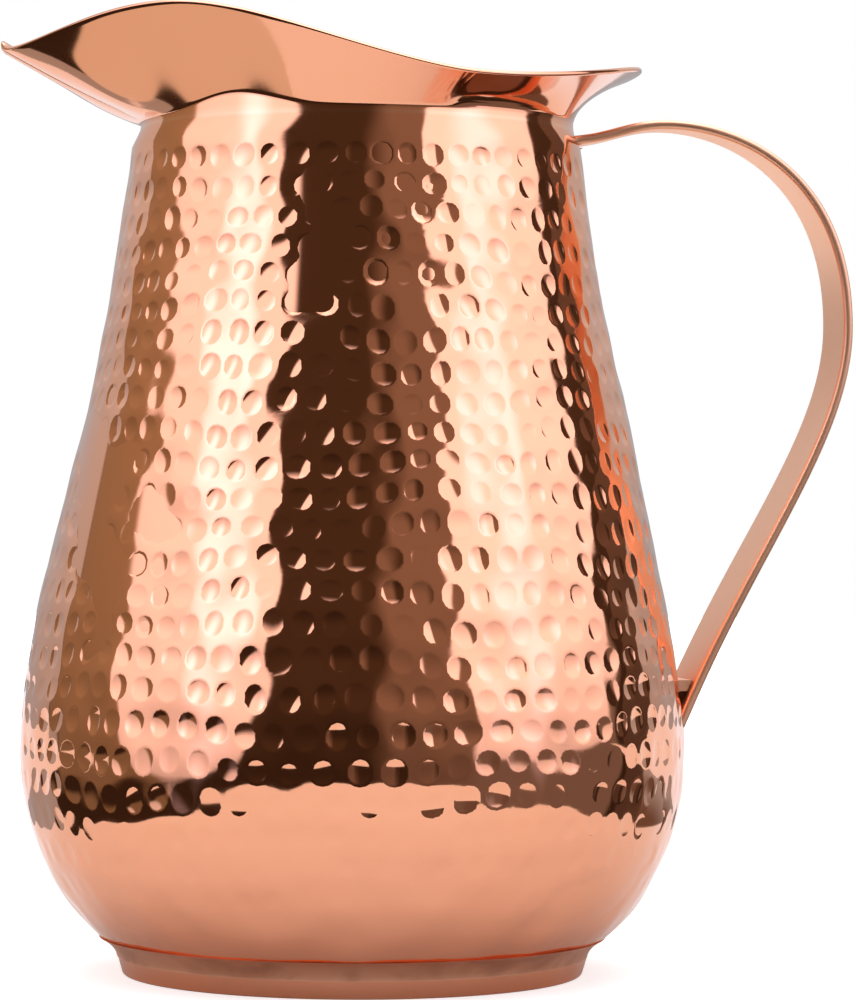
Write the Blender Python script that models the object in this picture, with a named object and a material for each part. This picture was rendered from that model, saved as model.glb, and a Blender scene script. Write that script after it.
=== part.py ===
"""Copper water jug.

A hammered body shell, a plain flared collar drawn out into a pouring spout, a foot ring, a base
plate and one strap handle, joined by braze. Metres, +Z up. The jug stands on Z = 0, the spout
points along -X, the handle along +X, and Y = 0 is the plane of symmetry.
"""

from math import cos, hypot, pi, radians, sin

import bmesh
import bpy
from mathutils import Vector
from mathutils.geometry import interpolate_bezier

# Overall sizes
SPOUT_REACH = 0.0780          # body axis to the tip of the spout
HANDLE_REACH = 0.1097         # body axis to the outside of the handle
AXIS_X = (SPOUT_REACH - HANDLE_REACH) / 2   # puts the origin under the middle of the jug
WALL = 0.0010                 # copper sheet
GAP = 0.0003                  # clearance between pieces that touch
TURN_STEPS = 60               # facets round the axis

# Body, as (radius, height) control points of two cubic curves that meet at the belly
NECK_RADIUS = 0.0477
BELLY = (0.0725, 0.0487)
HEEL = (0.0524, 0.0062)
NECK_EDGE_HEIGHT = 0.1838
SHOULDER_PULL = ((0.0535, 0.1424), (BELLY[0], 0.0750))
HEEL_PULL = ((BELLY[0], 0.0284), (0.0629, 0.0121))
BODY_STEPS = 12               # profile points in each curve
HEEL_FLANGE_RADIUS = 0.0460   # the heel is turned in over the base plate

# Foot ring and base plate
FOOT_HEIGHT = 0.0056
FOOT_TOP_RADIUS = 0.0519
FOOT_BOTTOM_RADIUS = 0.0504
FOOT_WALL = 0.0014
FOOT_EDGE = 0.0003            # rounding of the edge that the jug stands on
PLATE_RADIUS = 0.0490
PLATE_DISH = 0.0012           # rise of the plate's middle
PLATE_SHOULDER = (0.0300, 0.7)  # radius at which the plate has risen this share of its dish
PLATE_TOP = HEEL[1] - WALL - GAP

# Collar and spout: the rim as control points (x, y, height) from the spout's tip to the back lip
COLLAR_BOTTOM = 0.1850
RIM_TIP = Vector((-SPOUT_REACH, 0, 0.2020))
RIM_TIP_PULL = Vector((0, 0.0045, -0.0058))
RIM_PEAK = Vector((-0.0440, 0.0420, 0.2066))
RIM_PEAK_RUN = Vector((cos(radians(36)), sin(radians(36)), -0.020))
RIM_DIP = Vector((0.0200, 0.0545, 0.1920))
RIM_DIP_RUN = Vector((cos(radians(14)), -sin(radians(14)), -0.033))
RIM_BACK = Vector((0.0626, 0, 0.1982))
RIM_BACK_PULL = Vector((0, 0.0260, 0))
RIM_PULLS = (0.024, 0.020, 0.020, 0.022)
RIM_STEPS = (14, 10, 8)       # points in each of the three stretches of half the rim
COLLAR_STEPS = 7              # rows of faces from the neck to the rim
FLARE_LIFT = 0.37             # how far the lip climbs before it turns outwards, of its height
FLARE_START = 0.10            # how far towards the back it starts to climb, as a unit vector's x

# Handle: control points (radius from the axis, width, height) of three cubic curves
STRAP_THICKNESS = 0.0021
STRAP_NECK = Vector((0.0440, 0.0085, 0.1831))
STRAP_APEX = Vector((0.0686, 0.0092, 0.1872))
STRAP_OUTERMOST = Vector((HANDLE_REACH - STRAP_THICKNESS / 2, 0.0206, 0.1428))
STRAP_BELLY = Vector((0.07255, 0.0245, 0.0584))
STRAP_TAIL = Vector((0.0695, 0.0245, 0.0516))
STRAP_PULLS = (
    (Vector((0.0120, 0, 0.0003)), Vector((-0.0093, -0.0019, 0))),
    (Vector((0.0158, 0.0033, 0)), Vector((0, -0.0024, 0.0345))),
    (Vector((0, 0.0017, -0.0240)), Vector((0.0158, 0.0005, 0.0367))),
)
STRAP_STEPS = (8, 18, 18)
STRAP_EDGE = 0.00085          # rounding of the strap's long edges
STRAP_CORNER = (0.8, 0.68)    # middle of that rounding, as shares of the edge and the thickness

# Braze
SEAM_BOTTOM = NECK_EDGE_HEIGHT + GAP
SEAM_TOP = COLLAR_BOTTOM - GAP
FOOT_SEAM_SIZE = 0.0007
UPPER_BRAZE = 0.0015
UPPER_BRAZE_WIDTH = 0.0070
BEAD_HOLLOW = 0.4             # depth of a bead's hollow face, of its size
LOWER_BRAZE_BOTTOM = 0.0620
LOWER_BRAZE_TOP = 0.0644
LOWER_BRAZE_WIDTH = 0.0200
LOWER_BRAZE_ROOT = 0.0685     # radius that its blank reaches in to before it is cut to the body

# Finishes: colour, roughness
HAMMERED_COPPER = ("hammered_copper", (0.86, 0.46, 0.29), 0.12)
POLISHED_COPPER = ("polished_copper", (0.88, 0.50, 0.33), 0.10)
SATIN_COPPER = ("satin_copper", (0.84, 0.47, 0.31), 0.28)
BRAZE_METAL = ("braze_metal", (0.66, 0.36, 0.22), 0.35)


def clear_scene():
    for old in list(bpy.data.objects):
        bpy.data.objects.remove(old, do_unlink=True)


def material(finish):
    """The Principled material of a finish, made once."""
    name, colour, roughness = finish
    found = bpy.data.materials.get(name)
    if found:
        return found
    made = bpy.data.materials.new(name)
    made.use_nodes = True
    shader = made.node_tree.nodes["Principled BSDF"]
    shader.inputs["Base Color"].default_value = (*colour, 1)
    shader.inputs["Roughness"].default_value = roughness
    shader.inputs["Metallic"].default_value = 1
    return made


def add_object(name, bm, finish, sharp_angle=35):
    """Turn a bmesh into a named object with its origin on the body's axis."""
    bmesh.ops.remove_doubles(bm, verts=bm.verts, dist=1e-6)
    bmesh.ops.recalc_face_normals(bm, faces=bm.faces)
    mesh = bpy.data.meshes.new(name)
    bm.to_mesh(mesh)
    bm.free()
    mesh.shade_smooth()
    mesh.set_sharp_from_angle(angle=radians(sharp_angle))
    mesh.materials.append(material(finish))
    piece = bpy.data.objects.new(name, mesh)
    piece.location.x = AXIS_X
    bpy.context.scene.collection.objects.link(piece)
    return piece


def curve_points(start, start_pull, end_pull, end, steps):
    """Points along a cubic curve; the pulls are its two inner control points."""
    return interpolate_bezier(start, start_pull, end_pull, end, steps + 1)


def body_profile():
    """(radius, height) of the body's outside, from the neck down to the heel."""
    corners = [Vector((r, 0, z)) for r, z in (
        (NECK_RADIUS, NECK_EDGE_HEIGHT), *SHOULDER_PULL, BELLY, *HEEL_PULL, HEEL)]
    upper = curve_points(*corners[:4], BODY_STEPS)
    lower = curve_points(*corners[3:], BODY_STEPS)
    return upper + lower[1:]


def offset_profile(points, distance):
    """Move a profile in the XZ plane sideways, to its right when it runs downwards."""
    moved = []
    for index, point in enumerate(points):
        before = points[max(index - 1, 0)]
        after = points[min(index + 1, len(points) - 1)]
        along = (after - before).normalized()
        moved.append(point + distance * Vector((-along.z, 0, along.x)))
    return moved


def lathe(outline, closed=True):
    """Turn an outline of the XZ plane once round the Z axis, where an open one starts and ends."""
    bm = bmesh.new()
    corners = [bm.verts.new(point) for point in outline]
    ends = corners[1:] + corners[:1] if closed else corners[1:]
    edges = [bm.edges.new(pair) for pair in zip(corners, ends)]
    bmesh.ops.spin(bm, geom=corners + edges, cent=(0, 0, 0), axis=(0, 0, 1), angle=2 * pi,
                   steps=TURN_STEPS, use_merge=True)
    return bm


def hammered_body():
    outside = body_profile()
    inside = offset_profile(outside, -WALL)
    inside[0].z = NECK_EDGE_HEIGHT
    flange_top = Vector((HEEL_FLANGE_RADIUS, 0, HEEL[1] + WALL))
    flange_bottom = Vector((HEEL_FLANGE_RADIUS, 0, HEEL[1]))
    inside = [point for point in inside if point.z > flange_top.z + WALL / 2]
    return add_object("hammered_body",
                      lathe(outside + [flange_bottom, flange_top] + inside[::-1]),
                      HAMMERED_COPPER)


def base_plate():
    """A disc that rises a little in its middle, under the turned-in heel."""
    edge = Vector((PLATE_RADIUS, 0, PLATE_TOP))
    flat = Vector((HEEL_FLANGE_RADIUS, 0, PLATE_TOP))
    shoulder = Vector((PLATE_SHOULDER[0], 0, PLATE_TOP + PLATE_DISH * PLATE_SHOULDER[1]))
    crown = Vector((0, 0, PLATE_TOP + PLATE_DISH))
    down = Vector((0, 0, -WALL))
    top = [crown, shoulder, flat, edge]
    outline = top + [point + down for point in reversed(top)]
    return add_object("base_plate", lathe(outline, closed=False), POLISHED_COPPER)


def foot_ring():
    """A band that leans in towards a rounded standing edge."""
    lean = (FOOT_TOP_RADIUS - FOOT_BOTTOM_RADIUS) / FOOT_HEIGHT
    outer_edge = FOOT_BOTTOM_RADIUS + lean * FOOT_EDGE
    inner_edge = outer_edge - FOOT_WALL
    outline = [
        Vector((FOOT_TOP_RADIUS, 0, FOOT_HEIGHT)),
        Vector((outer_edge, 0, FOOT_EDGE)),
        Vector((outer_edge - FOOT_EDGE, 0, 0)),
        Vector((inner_edge + FOOT_EDGE, 0, 0)),
        Vector((inner_edge, 0, FOOT_EDGE)),
        Vector((FOOT_TOP_RADIUS - FOOT_WALL, 0, FOOT_HEIGHT)),
    ]
    return add_object("foot_ring", lathe(outline), POLISHED_COPPER)


def foot_seam():
    """Braze bead in the corner under the heel, round the outside of the foot ring."""
    inner = FOOT_TOP_RADIUS + GAP
    size = FOOT_SEAM_SIZE
    top = HEEL[1] - GAP
    outline = [
        Vector((inner, 0, top)),
        Vector((inner, 0, top - size)),
        Vector((inner + size * (1 - BEAD_HOLLOW), 0, top - size * BEAD_HOLLOW)),
        Vector((inner + size, 0, top)),
    ]
    return add_object("foot_seam", lathe(outline), BRAZE_METAL)


def collar_seam():
    """Braze line between the body's neck and the collar."""
    inner = NECK_RADIUS - WALL
    outline = [
        Vector((NECK_RADIUS, 0, SEAM_BOTTOM)),
        Vector((inner, 0, SEAM_BOTTOM)),
        Vector((inner, 0, SEAM_TOP)),
        Vector((NECK_RADIUS, 0, SEAM_TOP)),
    ]
    return add_object("collar_seam", lathe(outline), BRAZE_METAL)


def half_rim():
    """The rim from the spout's tip to the back lip, on the +Y side."""
    peak_back, peak_on, dip_back, dip_on = RIM_PULLS
    stretches = (
        (RIM_TIP, RIM_TIP + RIM_TIP_PULL, RIM_PEAK - peak_back * RIM_PEAK_RUN, RIM_PEAK),
        (RIM_PEAK, RIM_PEAK + peak_on * RIM_PEAK_RUN, RIM_DIP - dip_back * RIM_DIP_RUN, RIM_DIP),
        (RIM_DIP, RIM_DIP + dip_on * RIM_DIP_RUN, RIM_BACK + RIM_BACK_PULL, RIM_BACK),
    )
    points = [RIM_TIP]
    for corners, steps in zip(stretches, RIM_STEPS):
        points += curve_points(*corners, steps)[1:]
    return points


def whole_rim():
    """The closed rim, anticlockwise from the spout's tip as seen from below."""
    near = half_rim()
    far = [Vector((point.x, -point.y, point.z)) for point in near[1:-1]]
    return near + far[::-1]


def smooth_step(value):
    value = min(max(value, 0), 1)
    return value * value * (3 - 2 * value)


def collar_point(rim, part):
    """A point between the neck (part 0) and the rim (part 1), in the rim point's own plane.

    The spout runs straight from the neck; towards the back the lip first climbs, then flares.
    """
    outwards = Vector((rim.x, rim.y, 0)).normalized()
    neck = outwards * NECK_RADIUS + Vector((0, 0, COLLAR_BOTTOM))
    backness = smooth_step((outwards.x - FLARE_START) / (1 - FLARE_START))
    lift = Vector((0, 0, (rim.z - neck.z) * FLARE_LIFT))
    middle = ((neck + rim) / 2).lerp(neck + lift, backness)
    return (1 - part) ** 2 * neck + 2 * part * (1 - part) * middle + part ** 2 * rim


def spout_collar():
    """The flared lip and spout, raised from the neck circle row by row."""
    rim = whole_rim()
    bm = bmesh.new()
    bmesh.ops.create_circle(bm, segments=len(rim), radius=NECK_RADIUS)
    row = list(bm.verts)
    edges = list(bm.edges)
    for vert, point in zip(row, rim):
        vert.co = collar_point(point, 0)
    for step in range(1, COLLAR_STEPS + 1):
        raised = bmesh.ops.extrude_edge_only(bm, edges=edges)["geom"]
        row = [item for item in raised if isinstance(item, bmesh.types.BMVert)]
        edges = [item for item in raised if isinstance(item, bmesh.types.BMEdge)]
        edges = [edge for edge in edges if all(vert in row for vert in edge.verts)]
        for vert, point in zip(row, rim):
            vert.co = collar_point(point, step / COLLAR_STEPS)
    piece = add_object("spout_collar", bm, POLISHED_COPPER)
    piece.data.flip_normals()
    wall = piece.modifiers.new("wall", "SOLIDIFY")
    wall.thickness = WALL
    wall.offset = -1
    wall.use_even_offset = True
    return piece


def strap_path():
    """(radius, width, height) along the handle's middle, from the neck to its lower tail."""
    stops = (STRAP_NECK, STRAP_APEX, STRAP_OUTERMOST, STRAP_BELLY)
    path = [STRAP_NECK]
    for start, end, pulls, steps in zip(stops, stops[1:], STRAP_PULLS, STRAP_STEPS):
        path += curve_points(start, start + pulls[0], end + pulls[1], end, steps)[1:]
    return path + [STRAP_TAIL]


def strap_section(width, thickness):
    """A flat bar's cross-section with rounded long edges, as (sideways, outwards) pairs."""
    flat = width / 2 - STRAP_EDGE
    half = thickness / 2
    quarter = [
        (flat + STRAP_EDGE, 0),
        (flat + STRAP_EDGE * STRAP_CORNER[0], half * STRAP_CORNER[1]),
        (flat, half),
    ]
    over = [(-side, out) for side, out in reversed(quarter)]
    upper = quarter + over
    lower = [(side, -out) for side, out in reversed(upper[1:-1])]
    return upper + lower


def handle_strap(body_cutter):
    """One bar swept along the path, its ends cut to the body."""
    path = strap_path()
    middles = [Vector((stop.x, 0, stop.z)) for stop in path]
    bm = bmesh.new()
    last = None
    for index, stop in enumerate(path):
        before = middles[max(index - 1, 0)]
        after = middles[min(index + 1, len(path) - 1)]
        along = (after - before).normalized()
        outwards = Vector((-along.z, 0, along.x))
        corners = [bm.verts.new(middles[index] + side * Vector((0, 1, 0)) + out * outwards)
                   for side, out in strap_section(stop.y, STRAP_THICKNESS)]
        ring = [bm.edges.new((a, b)) for a, b in zip(corners, corners[1:] + corners[:1])]
        if last:
            bmesh.ops.bridge_loops(bm, edges=last + ring)
        else:
            bm.faces.new(corners)
        last = ring
    bm.faces.new(corners)
    piece = add_object("handle_strap", bm, SATIN_COPPER)
    trim(piece, body_cutter)
    return piece


def trim(piece, cutter):
    """Cut a piece back to the cutter's surface."""
    cut = piece.modifiers.new("fit to body", "BOOLEAN")
    cut.operation = "DIFFERENCE"
    cut.solver = "EXACT"
    cut.object = cutter


def body_envelope():
    """A solid a gap larger than the body, which trims what is brazed to it."""
    outside = offset_profile(body_profile(), GAP)
    top = Vector((outside[0].x, 0, SEAM_TOP + GAP))
    outline = [Vector((0, 0, top.z)), top] + outside + [Vector((0, 0, outside[-1].z))]
    cutter = add_object("body_envelope", lathe(outline, closed=False), HAMMERED_COPPER)
    cutter.hide_render = True
    cutter.display_type = "WIRE"
    return cutter


def prism(outline, width):
    """An outline of the XZ plane given a width along Y, centred."""
    bm = bmesh.new()
    face = bm.faces.new([bm.verts.new(point + Vector((0, -width / 2, 0))) for point in outline])
    pushed = bmesh.ops.extrude_face_region(bm, geom=[face])["geom"]
    verts = [item for item in pushed if isinstance(item, bmesh.types.BMVert)]
    bmesh.ops.translate(bm, verts=verts, vec=(0, width, 0))
    return bm


def handle_upper_braze():
    """Fillet under the strap where it meets the neck."""
    left = NECK_RADIUS + 2 * GAP
    top = STRAP_NECK.z - STRAP_THICKNESS / 2 - GAP
    outline = [
        Vector((left, 0, top)),
        Vector((left, 0, top - UPPER_BRAZE)),
        Vector((left + UPPER_BRAZE * BEAD_HOLLOW, 0, top - UPPER_BRAZE * BEAD_HOLLOW)),
        Vector((left + UPPER_BRAZE, 0, top)),
    ]
    return add_object("handle_upper_braze", prism(outline, UPPER_BRAZE_WIDTH), BRAZE_METAL)


def strap_inner_radius(height):
    """Radius of the strap's inner face, less a gap, on its straight lower run."""
    run = STRAP_PULLS[2][1]
    lean = run.x / run.z
    side = (STRAP_THICKNESS / 2 + GAP) * hypot(1, lean)
    return STRAP_BELLY.x + (height - STRAP_BELLY.z) * lean - side


def handle_lower_braze(body_cutter):
    """Fillet in the narrow V between the strap and the belly."""
    outline = [
        Vector((strap_inner_radius(LOWER_BRAZE_BOTTOM), 0, LOWER_BRAZE_BOTTOM)),
        Vector((strap_inner_radius(LOWER_BRAZE_TOP), 0, LOWER_BRAZE_TOP)),
        Vector((LOWER_BRAZE_ROOT, 0, LOWER_BRAZE_TOP)),
        Vector((LOWER_BRAZE_ROOT, 0, LOWER_BRAZE_BOTTOM)),
    ]
    piece = add_object("handle_lower_braze", prism(outline, LOWER_BRAZE_WIDTH), BRAZE_METAL)
    trim(piece, body_cutter)
    return piece


def main():
    clear_scene()
    hammered_body()
    base_plate()
    foot_ring()
    foot_seam()
    collar_seam()
    spout_collar()
    cutter = body_envelope()
    handle_strap(cutter)
    handle_upper_braze()
    handle_lower_braze(cutter)


main()
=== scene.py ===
"""Copper water jug: the looks, laid out as a Blender add-on and run as a script.

The packed model is the fixed frame. The visible pieces are rebuilt on it with a fine surface, each
rides on the body "root" and stands for its CAD node. Metres, +Z up, the spout along -X.
"""

import random
from math import atan2, copysign, cos, exp, hypot, pi, radians, sin

import bmesh
import bpy
import numpy as np
from bpy.props import FloatProperty, FloatVectorProperty, PointerProperty
from bpy.types import Operator, Panel, PropertyGroup
from mathutils import Matrix, Vector
from mathutils.geometry import interpolate_bezier


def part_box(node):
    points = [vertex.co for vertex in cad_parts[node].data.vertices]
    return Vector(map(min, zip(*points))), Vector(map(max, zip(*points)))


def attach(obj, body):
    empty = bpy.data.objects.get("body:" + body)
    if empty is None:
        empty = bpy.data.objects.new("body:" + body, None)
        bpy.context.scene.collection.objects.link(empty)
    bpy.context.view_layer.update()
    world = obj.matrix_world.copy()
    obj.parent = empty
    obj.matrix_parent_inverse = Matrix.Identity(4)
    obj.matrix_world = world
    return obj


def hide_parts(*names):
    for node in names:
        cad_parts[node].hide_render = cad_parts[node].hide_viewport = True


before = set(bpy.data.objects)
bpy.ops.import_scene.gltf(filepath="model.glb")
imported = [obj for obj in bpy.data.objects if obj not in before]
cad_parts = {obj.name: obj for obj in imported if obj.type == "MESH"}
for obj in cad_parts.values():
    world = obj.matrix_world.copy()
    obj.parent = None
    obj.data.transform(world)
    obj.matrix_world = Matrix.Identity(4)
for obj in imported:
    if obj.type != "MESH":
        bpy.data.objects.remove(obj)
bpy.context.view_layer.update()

bl_info = {
    "name": "Copper Water Jug",
    "version": (1, 0, 0),
    "blender": (4, 5, 0),
    "location": "View3D > Sidebar > Copper Jug",
    "description": "Builds a hammered copper water jug and its studio around a packed frame",
    "category": "Object",
}

MM = 0.001
BODY_LOW, BODY_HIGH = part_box("hammered_body")
COLLAR_LOW, COLLAR_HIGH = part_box("spout_collar")
SEAM_LOW, SEAM_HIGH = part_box("collar_seam")
_, FOOT_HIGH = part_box("foot_ring")
PLATE_LOW, PLATE_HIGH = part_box("base_plate")
_, STRAP_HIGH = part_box("handle_strap")

AXIS_X = (BODY_LOW.x + BODY_HIGH.x) / 2
AXIS = Vector((AXIS_X, 0, 0))
NECK_RADIUS = (SEAM_HIGH.x - SEAM_LOW.x) / 2
SPOUT_REACH = AXIS_X - COLLAR_LOW.x
HANDLE_REACH = STRAP_HIGH.x - AXIS_X
TURN_STEPS = 240
TURNED_SHARP = radians(50)    # edges of turned pieces that bend more than this stay sharp,
SHEET_SHARP = radians(60)     # and those of the lip and the strap
FACING_OUT = 0.2              # least outward part of a face's normal on a node's outside
NECK_LEAN = 0.14              # the body narrows by this much for each unit of height at its top

CREASE_LOW = 0.2 * MM         # least height of the crease above the seam
CREASE_MIDDLE, CREASE_SPREAD = radians(50), radians(15)   # where the crease climbs, from the tip
TROUGH_MIDDLE, TROUGH_SPREAD = radians(14), radians(9)    # where the spout's sides bulge
FILLET_STEPS = 6
FLARE_STEPS = 30
ROLL_STEPS = 6                # faces round the rim's edge
ROLL_REACH = 0.6              # how far the rim's edge rounds out, in half walls
COLLAR_WAVES = (11, 30, 30 * MM, 70 * MM)   # seed, count, shortest and longest
COLLAR_CALM = 8 * MM          # the waves grow over this height above the seam

# Rim of the collar as places (x from the axis, y, height), from the spout's tip to the back lip
RIM_TIP = Vector((-SPOUT_REACH, 0, 0.2020))
RIM_TIP_PULL = Vector((0, 0.0045, -0.0058))
RIM_PEAK = Vector((-0.0440, 0.0420, 0.2066))
RIM_PEAK_RUN = Vector((cos(radians(36)), sin(radians(36)), -0.020))
RIM_DIP = Vector((0.0200, 0.0525, 0.1920))
RIM_DIP_RUN = Vector((cos(radians(14)), -sin(radians(14)), -0.033))
RIM_BACK = Vector((COLLAR_HIGH.x - AXIS_X, 0, 0.1982))
RIM_BACK_PULL = Vector((0, 0.0260, 0))
RIM_PULLS = (0.024, 0.020, 0.020, 0.022)
RIM_STEPS = (46, 34, 30)

# Section of the foot seam as (radius, height): its hollow face from the top down, and its back
FOOT_SEAM_FACE = ((55.6 * MM, 8.15 * MM), (51.9 * MM, 6.3 * MM), (51.65 * MM, 3.9 * MM))
FOOT_SEAM_BACK = [(51.0 * MM, 3.9 * MM), (51.0 * MM, 6.4 * MM), (54.6 * MM, 8.35 * MM)]
FOOT_SEAM_STEPS = 12

FOOT_EDGE = 0.45 * MM         # rounding of the foot ring's lower edges
FOOT_EDGE_SIDE = 0.1 * MM     # how much wider the ring is where its outer edge starts to round
FOOT_EDGE_STEPS = 5
FOOT_BEND_LEAN, FOOT_BEND_HEIGHT = 0.35, 0.65   # where the ring's face bends, in lean and height
FOOT_WAVES = (21, 30, 8 * MM, 22 * MM, 0.03)    # seed, count, shortest, longest and slope
FOOT_CALM = 1.5 * MM          # the waves fade out over this way at both edges
PLATE_SHEET = 1.0 * MM
PLATE_RINGS = 10
DISH_REACH = 1.1              # the plate's radius over the dish's

STRAP_HALF = 1.05 * MM        # half the strap's thickness
STRAP_SINK = 0.45 * MM        # how far its ends sink into the body
STRAP_CROWN = 0.02            # how far its faces bulge, as a share of half its thickness
STRAP_SQUARENESS = 0.8        # below 1, its long edges are fuller than an ellipse

# Middle of the strap as (radius from the axis, width, height)
STRAP_STOPS = (
    Vector((0.0440, 0.0085, 0.1831)),
    Vector((0.0686, 0.0092, 0.1872)),
    Vector((HANDLE_REACH - STRAP_HALF, 0.0206, 0.1428)),
    Vector((0.07255, 0.0245, 0.0584)),
)
STRAP_TAIL = Vector((0.0695, 0.0245, 0.0516))
STRAP_PULLS = (
    (Vector((0.0120, 0, 0.0003)), Vector((-0.0093, -0.0019, 0))),
    (Vector((0.0158, 0.0033, 0)), Vector((0, -0.0024, 0.0345))),
    (Vector((0, 0.0017, -0.0240)), Vector((0.0158, 0.0005, 0.0367))),
)
STRAP_STEPS = (20, 48, 48)


# ---------------------------------------------------------------- settings

def number(name, description, default):
    return FloatProperty(name=name, description=description, default=default)


def length(name, description, default):
    return FloatProperty(name=name, description=description, default=default, unit="LENGTH")


def angle(name, description, default):
    return FloatProperty(name=name, description=description, default=default, subtype="ANGLE")


def tint(name, description, default):
    return FloatVectorProperty(name=name, description=description, default=default,
                               subtype="COLOR", min=0, max=1)


class BodySettings(PropertyGroup):
    """The hammered shell and its marks."""
    wall: length("Wall", "Thickness of the copper sheet", 1.0 * MM)
    mark_width: length("Mark width", "Width of one hammer mark", 4.15 * MM)
    mark_slope: number("Mark slope", "Steepness at a mark's edge", 0.17)
    mark_spacing: length("Mark spacing", "From mark to mark in a row", 5.8 * MM)
    row_pitch: length("Row pitch", "From row to row down the body", 6.8 * MM)
    growth: number("Growth", "How much larger and wider apart the marks are at the belly than "
                   "at the neck", 0.14)
    wander: length("Wander", "How far the rows stray from level", 1.4 * MM)
    plain_band: length("Plain band", "Smooth band under the collar", 5.0 * MM)
    unevenness: number("Unevenness", "Slope of the metal between marks", 0.038)
    colour: tint("Copper", "Colour of the hammered copper", (0.93, 0.43, 0.25))


class CollarSettings(PropertyGroup):
    """The lip and spout."""
    wall: length("Wall", "Thickness of the copper sheet", 1.0 * MM)
    crease_rise: length("Crease rise", "How far the crease climbs beside the spout", 3.2 * MM)
    fillet: length("Fillet", "Length of metal that the crease bends", 0.9 * MM)
    flare_start: number("Flare start", "How far towards the back the lip starts to climb first, "
                        "as the x of a unit vector", 0.22)
    flare_blend: number("Flare blend", "Further x of that unit vector over which the lip comes "
                        "to climb fully", 0.22)
    trough: length("Trough", "How far the spout's sides bulge beside its tip", 4.5 * MM)
    unevenness: number("Unevenness", "Slope of the sheet's slow waves", 0.010)
    flare_lift: number("Flare lift", "Share of its height that the back lip climbs before it "
                       "turns outwards", 0.50)
    colour: tint("Copper", "Colour of the plain copper", (0.93, 0.43, 0.25))


class FootSettings(PropertyGroup):
    """The foot ring and the base plate."""
    wall: length("Wall", "Thickness of the foot ring", 1.4 * MM)
    lean: length("Lean", "How far the ring leans in at its lower edge", 1.5 * MM)


class HandleSettings(PropertyGroup):
    """The strap."""
    thickness: length("Thickness", "Thickness of the strap", 2 * STRAP_HALF)
    edge: length("Edge", "Rounding of the strap's long edges", 1.0 * MM)
    colour: tint("Copper", "Colour of the satin copper", (0.95, 0.54, 0.33))


class StageSettings(PropertyGroup):
    """Camera and studio."""
    turn: angle("Turn", "How far the handle is turned from the view", radians(8))
    distance: length("Distance", "Camera to the jug's axis", 0.847)
    height: length("Height", "Camera above the floor", 0.1004)
    aside: length("Aside", "Camera to the right of the jug's axis", 0.01604)
    lens: number("Lens", "Focal length in millimetres", 138.6)
    pitch: angle("Pitch", "Upward tilt of the camera", radians(0.223))
    roll: angle("Roll", "Roll of the camera", radians(0.35))
    floor_reach: length("Floor reach", "Jug's axis to the floor's near edge", 0.377)
    floor_side: length("Floor side", "Jug's axis to the floor's edge beside it", 0.158)


# ---------------------------------------------------------------- shared mesh tools

def cad_profile(node):
    """(radius, 0, height) corners of the outside of a turned CAD node, from its top down."""
    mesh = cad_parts[node].data
    corners = {}
    for face in mesh.polygons:
        for index in face.vertices:
            place = mesh.vertices[index].co - AXIS
            radius = hypot(place.x, place.y)
            outwards = face.normal.x * place.x + face.normal.y * place.y
            level = round(place.z, 5)
            if outwards > FACING_OUT * radius:
                corners[level] = max(radius, corners.get(level, 0))
    return [Vector((corners[level], 0, level)) for level in sorted(corners, reverse=True)]


class Profile:
    """A smooth curve through a turned piece's corners, read by distance along it."""

    def __init__(self, corners, steps=12):
        points = []
        padded = [2 * corners[0] - corners[1], *corners, 2 * corners[-1] - corners[-2]]
        for before, start, end, after in zip(padded, padded[1:], padded[2:], padded[3:]):
            pull_out = start + (end - before) / 6
            pull_in = end - (after - start) / 6
            points += interpolate_bezier(start, pull_out, pull_in, end, steps + 1)[:-1]
        points.append(corners[-1])
        self.radius = np.array([point.x for point in points])
        self.height = np.array([point.z for point in points])
        lengths = np.hypot(np.diff(self.radius), np.diff(self.height))
        self.along = np.concatenate(([0], np.cumsum(lengths)))
        self.slope_r = np.gradient(self.radius, self.along)
        self.slope_z = np.gradient(self.height, self.along)
        self.length = float(self.along[-1])

    def at(self, along):
        """Radius, height and the outward normal's radial and vertical parts."""
        radius = float(np.interp(along, self.along, self.radius))
        height = float(np.interp(along, self.along, self.height))
        run_r = float(np.interp(along, self.along, self.slope_r))
        run_z = float(np.interp(along, self.along, self.slope_z))
        size = hypot(run_r, run_z)
        return radius, height, -run_z / size, run_r / size

    def radius_at(self, height):
        """Outside radius at a height, above the belly or below it."""
        return float(np.interp(-height, -self.height, self.radius))


def new_piece(name, bm, material, node, sharp=None):
    """Make a bmesh a piece of the jug that stands for a CAD node."""
    mesh = bpy.data.meshes.new(name)
    bm.to_mesh(mesh)
    bm.free()
    mesh.shade_smooth()
    if sharp:
        mesh.set_sharp_from_angle(angle=sharp)
    mesh.materials.append(material)
    piece = bpy.data.objects.new(name, mesh)
    bpy.context.scene.collection.objects.link(piece)
    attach(piece, "root")
    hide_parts(node)
    return piece


def lathe(outline, closed=True):
    """Turn an outline of (radius, height) pairs once round the jug's axis."""
    bm = bmesh.new()
    corners = [bm.verts.new((AXIS_X + radius, 0, height)) for radius, height in outline]
    ends = corners[1:] + corners[:1] if closed else corners[1:]
    edges = [bm.edges.new(pair) for pair in zip(corners, ends)]
    bmesh.ops.spin(bm, geom=corners + edges, cent=AXIS, axis=(0, 0, 1), angle=2 * pi,
                   steps=TURN_STEPS, use_merge=True)
    bmesh.ops.remove_doubles(bm, verts=bm.verts, dist=1e-6)
    bmesh.ops.recalc_face_normals(bm, faces=bm.faces)
    return bm


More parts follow.
